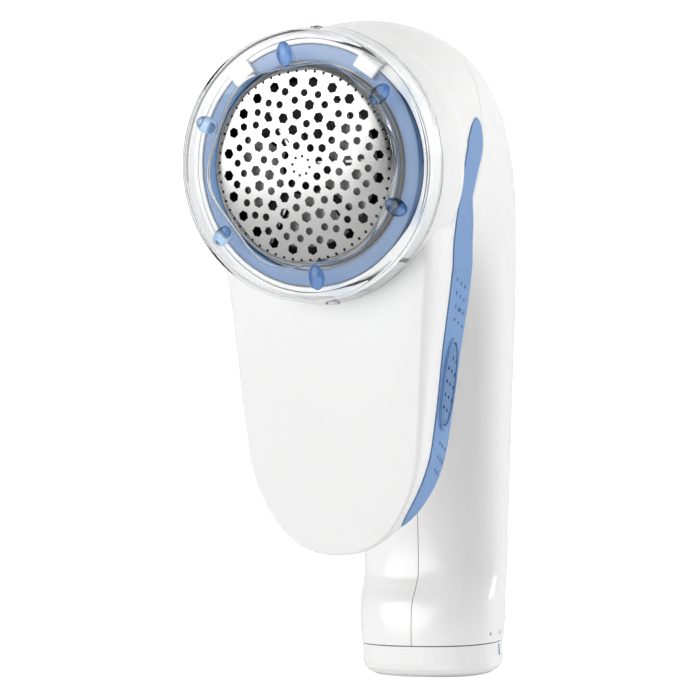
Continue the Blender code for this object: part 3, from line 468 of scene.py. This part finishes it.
def shield_outline(bottom_z, round_h, inset=0.0, top_z=RING_Z, fine=48):
    """Half of the shield's outline as (x, z), from the bottom up the +X side to the top.

    inset is a distance, or a function that gives the distance for a height.
    """
    half = []
    for k in range(fine):
        beta = math.pi / 2 * (k / fine) ** 0.9
        z = bottom_z + round_h * (1 - math.cos(beta))
        half.append((shield_half_width(z) * math.sin(beta) ** 0.8, z))
    straight = bottom_z + round_h
    half += [(shield_half_width(z), z) for z in (straight + (top_z - straight) * k / 32 for k in range(32))]
    radius = shield_half_width(top_z)
    half += [(radius * math.cos(a), top_z + radius * math.sin(a)) for a in
             (math.pi / 2 * k / 16 for k in range(16))]
    half.append((0.0, top_z + radius))
    reach = inset if callable(inset) else lambda z: inset
    moved = []
    for i, (x, z) in enumerate(half):
        before = half[i - 1] if i else (-half[1][0], half[1][1])
        after = half[i + 1] if i + 1 < len(half) else (-half[-2][0], half[-2][1])
        along = Vector((after[0] - before[0], after[1] - before[1])).normalized()
        moved.append((max(0.0, x - along.y * reach(z)), z + along.x * reach(z)))
    moved[0] = (0.0, moved[0][1])
    moved[-1] = (0.0, moved[-1][1])
    return moved


def shield_solid(name, grow=0.0, bottom_z=SHIELD_BOTTOM_Z, round_h=SHIELD_ROUND_H):
    """The shield as a solid: flat front with a rounded edge, side wall, rounded rear edge."""
    def ring(y_at, inset, shrink=1.0):
        points = [(x * shrink, y_at(z), z) for x, z in shield_outline(bottom_z, round_h, inset)]
        return points + [(-x, y, z) for x, y, z in reversed(points[1:-1])]

    def front_ring(turn, shrink=1.0):
        return ring(lambda z: FACE_Y - grow + between(SHIELD_EDGE, z)[1] * (1 - math.cos(turn)),
                    lambda z: between(SHIELD_EDGE, z)[0] * (1 - math.sin(turn)) - grow, shrink)

    def rear_ring(turn, shrink=1.0):
        def y_at(z):
            edge = FACE_Y - grow + between(SHIELD_EDGE, z)[1] + 0.3
            return max(edge, FACE_Y + between(SHIELD_DEPTH, z)[0] + grow - 1.6 * (1 - math.sin(turn)))
        return ring(y_at, 1.6 * (1 - math.cos(turn)) - grow, shrink)

    quarter = math.pi / 2
    rings = [front_ring(0.0, 0.0), front_ring(0.0, 0.5)] + [front_ring(quarter * k / 12) for k in range(13)]
    rings += [rear_ring(quarter * k / 6) for k in range(7)]
    rings += [rear_ring(quarter, 0.5), rear_ring(quarter, 0.0)]
    return loft(name, rings, caps=False)


def drum(name, grow=0.0):
    """The head's drum. Its rear edge is tight at the top and runs out into the side walls lower down."""
    radius, front, rear = DRUM_R + grow, DRUM_FRONT_Y - grow, DRUM_REAR_Y + grow
    count = 192

    def ring(shape):
        points = []
        for k in range(count):
            angle = 2 * math.pi * k / count
            r, y = shape(min(1.0, max(0.0, (26.0 - radius * math.sin(angle)) / 26.0)))
            points.append((r * math.cos(angle), y, RING_Z + r * math.sin(angle)))
        return points

    rings = [ring(lambda t: (0.0, front)), ring(lambda t: (radius - 0.6, front)),
             ring(lambda t: (radius - 0.18, front + 0.18)), ring(lambda t: (radius, front + 0.6))]
    for k in range(11):
        turn = math.pi / 2 * k / 10
        rings.append(ring(lambda t: (radius - (2.0 + 2.2 * t) * (1 - math.cos(turn)),
                                     rear - (2.0 + 4.0 * t) * (1 - math.sin(turn)))))
    return loft(name, rings + [ring(lambda t: (0.0, rear))], caps=False)


def outer_skin(name, grow):
    solid = boolean(shield_solid(name, grow), drum("drum", grow), "UNION")
    return boolean(solid, arch_solid("arch", -grow), "UNION")


def oval(half_long, half_wide, count=96):
    points = []
    for k in range(count):
        angle = 2 * math.pi * k / count
        c, s = math.cos(angle), math.sin(angle)
        points.append((math.copysign(abs(c) ** 0.85, c) * half_long,
                       math.copysign(abs(s) ** 0.85, s) * half_wide))
    return points


def bin_outline(grow):
    half_w, bottom, top, round_h = 15.0 + grow, 49.0 - grow, 97.0 + grow, 14.0
    turns = [math.pi / 2 * k / 24 for k in range(1, 25)]
    right = [(half_w * math.sin(turn) ** 0.8, bottom + round_h * (1 - math.cos(turn))) for turn in turns]
    right.append((half_w, top))
    return [(0.0, bottom)] + right + [(-x, z) for x, z in reversed(right)]


def seam_prism(name, offset):
    edge = [(y + offset, z) for y, z in spline_rows(SEAM, 6)]
    outline = [(-90.0, SEAM[0][1])] + edge + [(SEAM[-1][0] + offset, 20.0), (-90.0, 20.0)]
    return prism(name, outline, -60.0, 60.0, "X")


def grip_prism(name, grow, side):
    rows = spline_rows(GRIP_LINE, 8)
    ends = {0: grow, len(rows) - 1: -grow}
    front = [(y - half - grow, z + ends.get(i, 0.0)) for i, (y, z, half) in enumerate(rows)]
    back = [(y + half + grow, z + ends.get(i, 0.0)) for i, (y, z, half) in enumerate(rows)]
    grip = prism(name, front + back[::-1], side * 10.0, side * 40.0, "X")
    edge = [p for p in shield_outline(SHIELD_BOTTOM_Z, SHIELD_ROUND_H, 2.4 + grow) if p[1] < 108.0]
    edge.append((edge[-1][0], 108.0 - 2 * grow))
    return boolean(grip, prism("inside", edge + [(-x, z) for x, z in reversed(edge[1:])], -70.0, -20.0, "Y"))


def button_place(obj):
    seat = Matrix.Translation(Vector((shield_half_width(BUTTON_Z), BUTTON_Y, BUTTON_Z)) * MM)
    obj.data.transform(seat @ Matrix.Rotation(BUTTON_TAPER, 4, "Y") @ Matrix.Rotation(-BUTTON_TILT, 4, "X"))
    return obj


def oval_stack(name, rows, mat=None):
    """Stacked ovals along X: rows of (half long, half wide, height)."""
    return loft(name, [[(x, w, l) for l, w in oval(a, b)] for a, b, x in rows], mat)


def finish(obj, name, mat, body, slot, *nodes, angle=32.0):
    collect(obj, name, mat)
    smooth(obj, angle)
    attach(obj, body)
    if nodes:
        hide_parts(*nodes)
    return obj


# ---- casing ----
def make_casing():
    pocket_floor = outer_skin("pocket_floor", -1.1)
    grip_floor = outer_skin("grip_floor", -0.85)
    grip_top = outer_skin("grip_top", 0.35)

    front = boolean(shield_solid("front"), drum("drum"), "UNION")
    boolean(front, cylinder("collar", SPIGOT_R, SPIGOT_FRONT_Y, -50.0, "Y", (0, RING_Z), sides=160), "UNION")
    front_arch = boolean(arch_solid("front_arch", 0.0), seam_prism("seam", -SEAM_GAP / 2), "INTERSECT")
    boolean(front, front_arch, "UNION")
    boolean(front, cylinder("bore", SPIGOT_IN_R, -70.0, DRUM_REAR_Y - WALL, "Y", (0, RING_Z), sides=160))
    boolean(front, shield_solid("hollow", -WALL, bottom_z=45.5, round_h=17.0))
    boolean(front, arch_solid("arch_hollow", 1.5, -5.0, steps=2, around=40))
    boolean(front, prism("bin_opening", bin_outline(0.25), -49.0, -20.0, "Y"))

    for side, label in ((1, "right"), (-1, "left")):
        pocket = grip_prism("pocket", 0.12, side)
        boolean(pocket, pocket_floor, keep=True)
        boolean(front, pocket)
        grip = boolean(grip_prism("grip", 0.0, side), grip_top, "INTERSECT", keep=True)
        boolean(grip, grip_floor, keep=True)
        boolean(grip, seam_prism("limit", -0.5), "INTERSECT")
        if side == 1:
            rim = oval_stack("rim", ((11.35, 3.85, -0.4), (11.35, 3.85, 0.5), (11.25, 3.75, 0.6),
                                     (11.15, 3.65, 0.62), (11.1, 3.6, 0.66), (11.08, 3.58, 0.9),
                                     (10.95, 3.45, 0.98)))
            boolean(grip, button_place(rim), "UNION")
            hole = button_place(oval_stack("hole", ((10.15, 3.05, -6.0), (10.15, 3.05, 0.7), (10.3, 3.2, 0.9),
                                                    (10.6, 3.5, 1.1), (10.6, 3.5, 6.0))))
            boolean(grip, hole, keep=True)
            boolean(front, hole)
        dimple_grip(grip, side)
        finish(grip, "visual_grip_" + label, GRIP, "housing", "blue_grip", "grip_" + label)
    finish(front, "visual_front_shell", WHITE, "housing", "white_gloss", "front_shell")
    for helper in (pocket_floor, grip_floor, grip_top):
        bpy.data.objects.remove(helper, do_unlink=True)

    rear = boolean(arch_solid("rear", 0.0), arch_solid("rear_hollow", 1.5, -5.0, steps=2, around=40))
    boolean(rear, seam_prism("seam", SEAM_GAP / 2))
    for side, label in ((1, "right"), (-1, "left")):
        half = duplicate(rear, "half")
        low, high = sorted((side * SEAM_GAP / 2, side * 60.0))
        boolean(half, box("half_space", (low, -100, -20), (high, 100, 200)), "INTERSECT")
        for y, z, radius in CASE_SCREWS:
            post = cylinder("post", radius, low, high, "X", (y, z))
            boolean(post, arch_solid("post_end", 0.9, steps=2, around=40), "INTERSECT")
            boolean(half, post, "UNION")
            reach = (-9.0, 0.0) if side < 0 else (0.0, 9.0)
            boolean(half, cylinder("screw_hole", 1.35, *reach, "X", (y, z)))
            if side < 0:
                boolean(half, cylinder("counterbore", 2.5, -30.0, -8.3, "X", (y, z)))
        finish(half, "visual_rear_shell_" + label, WHITE, "housing", "white_gloss", "rear_shell_" + label)
    bpy.data.objects.remove(rear, do_unlink=True)

    # A plug closes the lowest screw's counterbore.
    y, z, _ = CASE_SCREWS[0]
    plug = cylinder("plug", 2.44, -30.0, -10.9, "X", (y, z))
    boolean(plug, arch_solid("plug_skin", 0.03), "INTERSECT")
    finish(plug, "visual_screw_plug", WHITE, "housing", "white_gloss")


# Dimples on a grip: rows, first dimple (Y, Z), step along a row (Y, Z), shift along Y from row to row.
GRIP_DIMPLES = ((4, (-39.05, 101.1), (2.32, -0.97), -0.03), (3, (-42.7, 61.8), (1.55, -0.85), -0.42))


def dimple_grip(grip, side):
    """Rows of three small dimples above and below the button, and the fine step above them."""
    spots = []
    for rows, first, step, drop in GRIP_DIMPLES:
        for row in range(rows):
            for k in range(3):
                y, z = first[0] + step[0] * k + drop * row, first[1] + step[1] * k - 3.2 * row
                spots.append((side * (shield_side(z) + 0.5), y, z))
    boolean(grip, balls("dimples", spots, (0.55, 0.52, 0.52)))
    low, high = sorted((side * (shield_half_width(103.0) + 0.27), side * 31.0))
    boolean(grip, box("line", (low, -50.0, 103.0), (high, -25.0, 103.2)))


def shield_side(z):
    """Half the shield's width at any height, with the rounded lower end."""
    beta = math.acos(min(1.0, max(-1.0, 1 - (z - SHIELD_BOTTOM_Z) / SHIELD_ROUND_H)))
    full = shield_half_width(z)
    return full if z > SHIELD_BOTTOM_Z + SHIELD_ROUND_H else full * math.sin(beta) ** 0.8


def make_button():
    rows = ((9.9, 2.8, -2.6), (9.9, 2.8, 0.4), (9.82, 2.72, 0.62), (9.6, 2.5, 0.76), (9.3, 2.2, 0.8))
    button = oval_stack("button", rows)
    spots = [(0.78, (-1.8, 0.1, 2.0)[k], 7.0 - 3.17 * row - 0.65 * k)
             for row in range(5) for k in range(3) if row + k]
    boolean(button, balls("dimples", spots, (0.5, 0.5, 0.5)))
    finish(button_place(button), "visual_power_button", BLUE, "button", "blue_plastic", "power_button")


def make_bin():
    tray = prism("tray", bin_outline(0.0), -49.5, -20.0, "Y")
    boolean(tray, shield_solid("bin_back"), "INTERSECT")
    hollow = prism("bin_hollow", [(x, z + (10.0 if z > 96.0 else 0.0)) for x, z in bin_outline(-1.5)],
                   -60.0, -20.0, "Y")
    boolean(hollow, shield_solid("bin_room", -1.6, bottom_z=40.0), "INTERSECT")
    boolean(tray, hollow)
    finish(tray, "visual_lint_bin", SATIN, "bin", "white_satin", "lint_bin")


# ---- shaving head ----
LENS_R = 26.9
BUMP_ANGLES = tuple(math.radians(96.6 + 60.0 * k) for k in range(6))


def guard_scallop(angle):
    return 24.2 - 0.8 * math.cos(6 * (angle - BUMP_ANGLES[0]))


def make_guard():
    """The clear guard: a thin turned cover with a scalloped opening."""
    steps = 360

    def outer_profile(opening):
        points = [(32.75, -55.0), (33.4, -55.0), (33.5, -55.15), (33.1, -58.6), (32.75, -61.0), (32.6, -62.2)]
        points += [(30.9 + 1.68 * math.cos(a), -62.5 - 1.7 * math.sin(a)) for a in
                   (math.pi / 2 * k / 8 for k in range(9))]
        inner = opening + 0.45
        points += [(30.9 + (inner - 30.9) * k / 44.0, -64.2) for k in range(1, 45)]
        points += [(opening + 0.13, -64.07), (opening, -63.75), (opening, -63.35), (opening + 0.12, -63.1),
                   (opening + 0.4, -63.0)]
        points += [(30.4, -63.0), (31.2, -62.75), (31.75, -62.2), (32.0, -61.0), (32.4, -58.9)]
        return points

    rings = []
    count = len(outer_profile(24.0))
    for index in range(count):
        ring = []
        for k in range(steps):
            angle = 2 * math.pi * k / steps
            r, y = outer_profile(guard_scallop(angle))[index]
            ring.append((r * math.cos(angle), y, RING_Z + r * math.sin(angle)))
        rings.append(ring)
    guard = loft("guard", rings, closed=True)
    finish(guard, "visual_guard", CLEAR, "guard", "clear", "clear_guard", angle=50.0)


def make_guard_details():
    """Six lens-shaped bumps, a clip at the top of the skirt and a small foot at its bottom."""
    lenses = []
    for middle in BUMP_ANGLES:
        lens = balls("lens", [(0.0, 0.0, 0.0)], (3.15, 1.0, 2.15))
        seat = Vector((LENS_R * math.cos(middle), -64.0, RING_Z + LENS_R * math.sin(middle))) * MM
        lens.data.transform(Matrix.Translation(seat) @ Matrix.Rotation(-middle, 4, "Y"))
        boolean(lens, box("front_half", (-40, -70.0, 80), (40, -64.23, 180)), "INTERSECT")
        lenses.append(lens)
    finish(join("lenses", lenses), "visual_guard_lenses", LENS, "guard", "clear", angle=60.0)
    clip = box("clip", (2.0, -60.4, 162.2), (4.4, -57.8, 163.3))
    bevel(clip, 0.5, 3)
    foot = box("foot", (2.2, -58.4, 96.5), (5.2, -56.0, 97.4))
    bevel(foot, 0.3, 2)
    finish(join("details", [clip, foot]), "visual_guard_clip", CLEAR, "guard", "clear")


# Broad wings of the cutter, close behind the foil: from and to in degrees, inner and outer radius.
BLADE_WINGS = ((-42, 38, 7.0, 19.0), (148, 216, 6.0, 16.5), (246, 304, 7.0, 19.5))


def make_blade_wings():
    wings = []
    for low, high, inner, outer in BLADE_WINGS:
        arc = [math.radians(low + (high - low) * k / 24) for k in range(25)]
        outline = [(outer * math.cos(a), RING_Z + outer * math.sin(a)) for a in arc]
        outline += [(inner * math.cos(a), RING_Z + inner * math.sin(a)) for a in reversed(arc)]
        wings.append(prism("wing", outline, -61.7, -61.45, "Y"))
    finish(join("wings", wings), "visual_blade_wings", WING, "cutter", "steel")


def make_marks():
    """Lock signs at the battery cap: a line on the cap and two dots on the handle."""
    line = box("line", (18.0, 0.4, 4.7), (18.3, 0.72, 7.6))
    finish(line, "visual_cap_mark", MARK, "cap", "blue_plastic")
    dots = []
    for y, z in ((-3.9, 10.8), (0.7, 10.6)):
        dots.append(prism("dot", [(y - 0.3, z - 0.5), (y + 0.3, z - 0.5), (y, z + 0.5)], 10.0, 30.0, "X"))
    dots = join("dots", dots)
    boolean(dots, arch_solid("dots_out", -0.04), "INTERSECT")
    boolean(dots, arch_solid("dots_in", 0.15))
    finish(dots, "visual_lock_marks", MARK, "housing", "blue_plastic")


def make_head_frame():
    profile = [(30.55, -58.9), (30.7, -58.75), (30.7, -50.0), (29.6, -50.0), (29.6, -55.4), (25.0, -55.4),
               (25.0, -56.9), (29.6, -56.9), (29.6, -58.75), (29.75, -58.9)]
    ring = turned("frame", profile, steps=240)
    for turn in (-36.0, 36.0):
        hook = prism("hook", [(-60.4, 27.0), (-60.4, 30.2), (-60.1, 30.5), (-57.6, 30.5), (-57.6, 29.75),
                              (-59.3, 29.75), (-59.3, 26.8), (-60.2, 26.8)], -3.0, 3.0, "X")
        bevel(hook, 0.28, 3, 30.0)
        lift = Matrix.Translation((0, 0, RING_Z * MM))
        hook.data.transform(lift @ Matrix.Rotation(math.radians(turn), 4, "Y"))
        boolean(ring, hook, "UNION")
    finish(ring, "visual_head_frame", SATIN, "lock_ring", "white_satin", "head_frame")
    edge = [(28.75, -59.0), (29.1, -58.9), (29.3, -58.6), (29.3, -57.2), (25.5, -57.2), (25.5, -58.6),
            (25.62, -58.88), (25.9, -59.0)]
    foil_ring = turned("ring", edge, steps=240)
    finish(foil_ring, "visual_foil_ring", BLUE, "lock_ring", "blue_plastic", "foil_ring")


# The foil's holes repeat eight times: (circle radius, half spread in degrees, centre at 12.2 or 34.7 degrees,
# sides, hole radius)
HOLE_ROWS = (
    (2.3, 0.0, 34.7, 16, 0.36), (4.9, 0.0, 12.2, 24, 0.97), (7.0, 0.0, 34.7, 6, 1.10),
    (8.8, 0.0, 12.2, 6, 1.36), (10.1, 0.0, 34.7, 24, 0.95), (12.3, 8.8, 12.2, 6, 1.37),
    (14.6, 0.0, 34.7, 6, 1.37), (15.7, 7.7, 12.2, 24, 0.92), (17.4, 6.1, 34.7, 24, 0.90),
    (18.2, 0.0, 12.2, 6, 1.05), (20.1, 7.5, 12.2, 6, 1.36), (20.1, 0.0, 34.7, 6, 1.36),
)
FOIL_DOME = ((0.0, -63.95), (4.0, -63.9), (8.0, -63.78), (12.0, -63.58), (16.0, -63.28), (20.0, -62.85),
             (22.0, -62.55))


def make_foil():
    outer = [(r, y) for r, y in spline_rows(FOIL_DOME, 4)]
    outer += [(22.8, -62.38), (23.4, -62.12), (23.9, -61.7), (24.3, -61.1), (24.52, -60.4), (24.6, -59.6),
              (24.6, -55.8)]
    inner = [(max(0.0, r - 0.04 - 0.28 * min(1.0, max(0.0, (r - 21.5) / 3.0))), y + 0.34)
             for r, y in reversed(outer)]
    inner[0] = (24.28, -55.8)
    foil = turned("foil", outer + inner, steps=240, closed=False)
    bm = bmesh.new()
    for circle, half_spread, middle, sides, size in HOLE_ROWS:
        for sector in range(8):
            for turn in ((-1, 1) if half_spread else (0,)):
                add_hole(bm, circle, math.radians(middle + 45.0 * sector + turn * half_spread), sides, size)
    for k in range(60):
        add_hole(bm, 22.6, math.radians(6.0 * k + 2.0), 12, 0.36)
    mesh = bpy.data.meshes.new("holes")
    bm.to_mesh(mesh)
    bm.free()
    holes = bpy.data.objects.new("holes", mesh)
    bpy.context.scene.collection.objects.link(holes)
    boolean(foil, holes)
    finish(foil, "visual_foil", STEEL, "foil_set", "steel", "foil", angle=25.0)


def add_hole(bm, circle, angle, sides, size):
    middle = Vector((circle * math.cos(angle), -62.9, RING_Z + circle * math.sin(angle))) * MM
    spot = Matrix.Translation(middle) @ Matrix.Rotation(-angle, 4, "Y") @ Matrix.Rotation(math.pi / 2, 4, "X")
    spot = spot @ Matrix.Rotation(math.pi / 6 if sides == 6 else 0, 4, "Z")
    bmesh.ops.create_cone(bm, cap_ends=True, segments=sides, radius1=size * MM, radius2=size * MM,
                          depth=3.0 * MM, matrix=spot)


# ---- studio ----
WORLD_LIGHT = 0.35
# Darker parts of the sky, seen in glossy surfaces only: direction, how much darker, and how near they start.
SKY_SHADES = (((0.80, -0.58, 0.12), 0.45, 0.2), ((-0.25, -0.2, 0.94), 0.25, 0.3))
# Glow of the backdrop for the camera only.
BACKDROP_GLOW = 0.65


def sun(name, toward, strength, angle):
    """A soft distant light that shines from the given direction."""
    lamp = bpy.data.lights.new(name, "SUN")
    lamp.energy, lamp.angle = strength, math.radians(angle)
    obj = bpy.data.objects.new(name, lamp)
    bpy.context.scene.collection.objects.link(obj)
    obj.rotation_euler = Vector(toward).to_track_quat("Z", "Y").to_euler()
    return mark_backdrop(obj)


def make_studio():
    world = bpy.data.worlds.new("studio")
    bpy.context.scene.world = world
    world.use_nodes = True
    nodes, links = world.node_tree.nodes, world.node_tree.links
    background = nodes["Background"]
    background.inputs["Color"].default_value = (1.0, 1.0, 1.0, 1.0)
    sky = nodes.new("ShaderNodeTexCoord").outputs["Generated"]
    mirrored = nodes.new("ShaderNodeLightPath").outputs["Is Glossy Ray"]
    light = None
    for toward, dim, near in SKY_SHADES:
        facing = nodes.new("ShaderNodeVectorMath")
        facing.operation = "DOT_PRODUCT"
        facing.inputs[1].default_value = toward
        links.new(sky, facing.inputs[0])
        ramp = nodes.new("ShaderNodeMapRange")
        ramp.interpolation_type = "SMOOTHSTEP"
        ramp.inputs["From Min"].default_value = near
        ramp.inputs["From Max"].default_value = 1.0
        ramp.inputs["To Min"].default_value = 0.0
        ramp.inputs["To Max"].default_value = dim
        links.new(facing.outputs["Value"], ramp.inputs["Value"])
        shade = nodes.new("ShaderNodeMath")
        shade.operation = "MULTIPLY"
        links.new(ramp.outputs["Result"], shade.inputs[0])
        links.new(mirrored, shade.inputs[1])
        less = nodes.new("ShaderNodeMath")
        less.operation = "SUBTRACT"
        less.inputs[0].default_value = WORLD_LIGHT
        if light:
            links.new(light, less.inputs[0])
        links.new(shade.outputs["Value"], less.inputs[1])
        light = less.outputs["Value"]
    seen = nodes.new("ShaderNodeMath")
    seen.operation = "MAXIMUM"
    links.new(light, seen.inputs[0])
    links.new(nodes.new("ShaderNodeLightPath").outputs["Is Camera Ray"], seen.inputs[1])
    links.new(seen.outputs["Value"], background.inputs["Strength"])

    profile = [(-3.0, 0.0), (1.2, 0.0)]
    curve = [math.pi / 2 * k / 12 for k in range(1, 13)]
    profile += [(1.2 + 0.8 * math.sin(a), 0.8 - 0.8 * math.cos(a)) for a in curve]
    profile += [(2.0, 3.5)]
    points = [(x * 1000, y * 1000, z * 1000) for y, z in profile for x in (-3.0, 3.0)]
    faces = [(2 * i, 2 * i + 1, 2 * i + 3, 2 * i + 2) for i in range(len(profile) - 1)]
    floor = mesh_object("studio_floor", points, faces)
    mat, nodes, links, shader = new_material("paper_backdrop")
    cloud = add_noise(nodes, links, 3.0)
    paper = mix_colours(nodes, links, cloud, (0.985, 0.985, 0.985), (0.975, 0.975, 0.975))
    links.new(paper, shader.inputs["Base Color"])
    shader.inputs["Roughness"].default_value = 0.9
    shader.inputs["Emission Color"].default_value = (1.0, 1.0, 1.0, 1.0)
    seen = nodes.new("ShaderNodeMath")
    seen.operation = "MULTIPLY"
    seen.inputs[1].default_value = BACKDROP_GLOW
    links.new(nodes.new("ShaderNodeLightPath").outputs["Is Camera Ray"], seen.inputs[0])
    links.new(seen.outputs["Value"], shader.inputs["Emission Strength"])
    floor.data.materials.append(mat)
    floor.data.shade_smooth()

    sun("key", (-0.50, -0.80, 0.32), 1.68, 46.0)
    sun("rim", (0.80, 0.48, 0.34), 2.5, 36.0)
    scene = bpy.context.scene
    scene.view_settings.view_transform = "Standard"
    scene.view_settings.look = "None"


NODE_FINISH = {
    "base_cap": WHITE, "blade_carrier": DARK, "lint_fan": SATIN, "motor_mount": BLACK, "motor_can": DULL,
    "motor_end_cap": BLACK, "motor_shaft": STEEL, "armature": COPPER, "commutator": COPPER,
    "magnet_upper": MAGNET, "magnet_lower": MAGNET, "battery_left": LABEL, "battery_right": LABEL,
    "switch_body": BLACK,
    "contact_carrier": BLACK, "contact_wall": BLACK, "drive_collar": BLACK, "wire_motor_battery": RED,
    "wire_motor_switch": SLEEVE, "wire_switch_battery": SLEEVE, "bearing_front": BRASS, "bearing_rear": BRASS,
    "motor_terminal_left": BRASS, "motor_terminal_right": BRASS,
}


def finish_nodes():
    """Every CAD node that still shows gets its own procedural material."""
    for name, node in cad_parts.items():
        node.data.materials.clear()
        node.data.materials.append(NODE_FINISH.get(name, DULL))


make_camera()
finish_nodes()
make_casing()
make_button()
make_bin()
make_guard()
make_guard_details()
make_blade_wings()
make_marks()
make_head_frame()
make_foil()
make_studio()
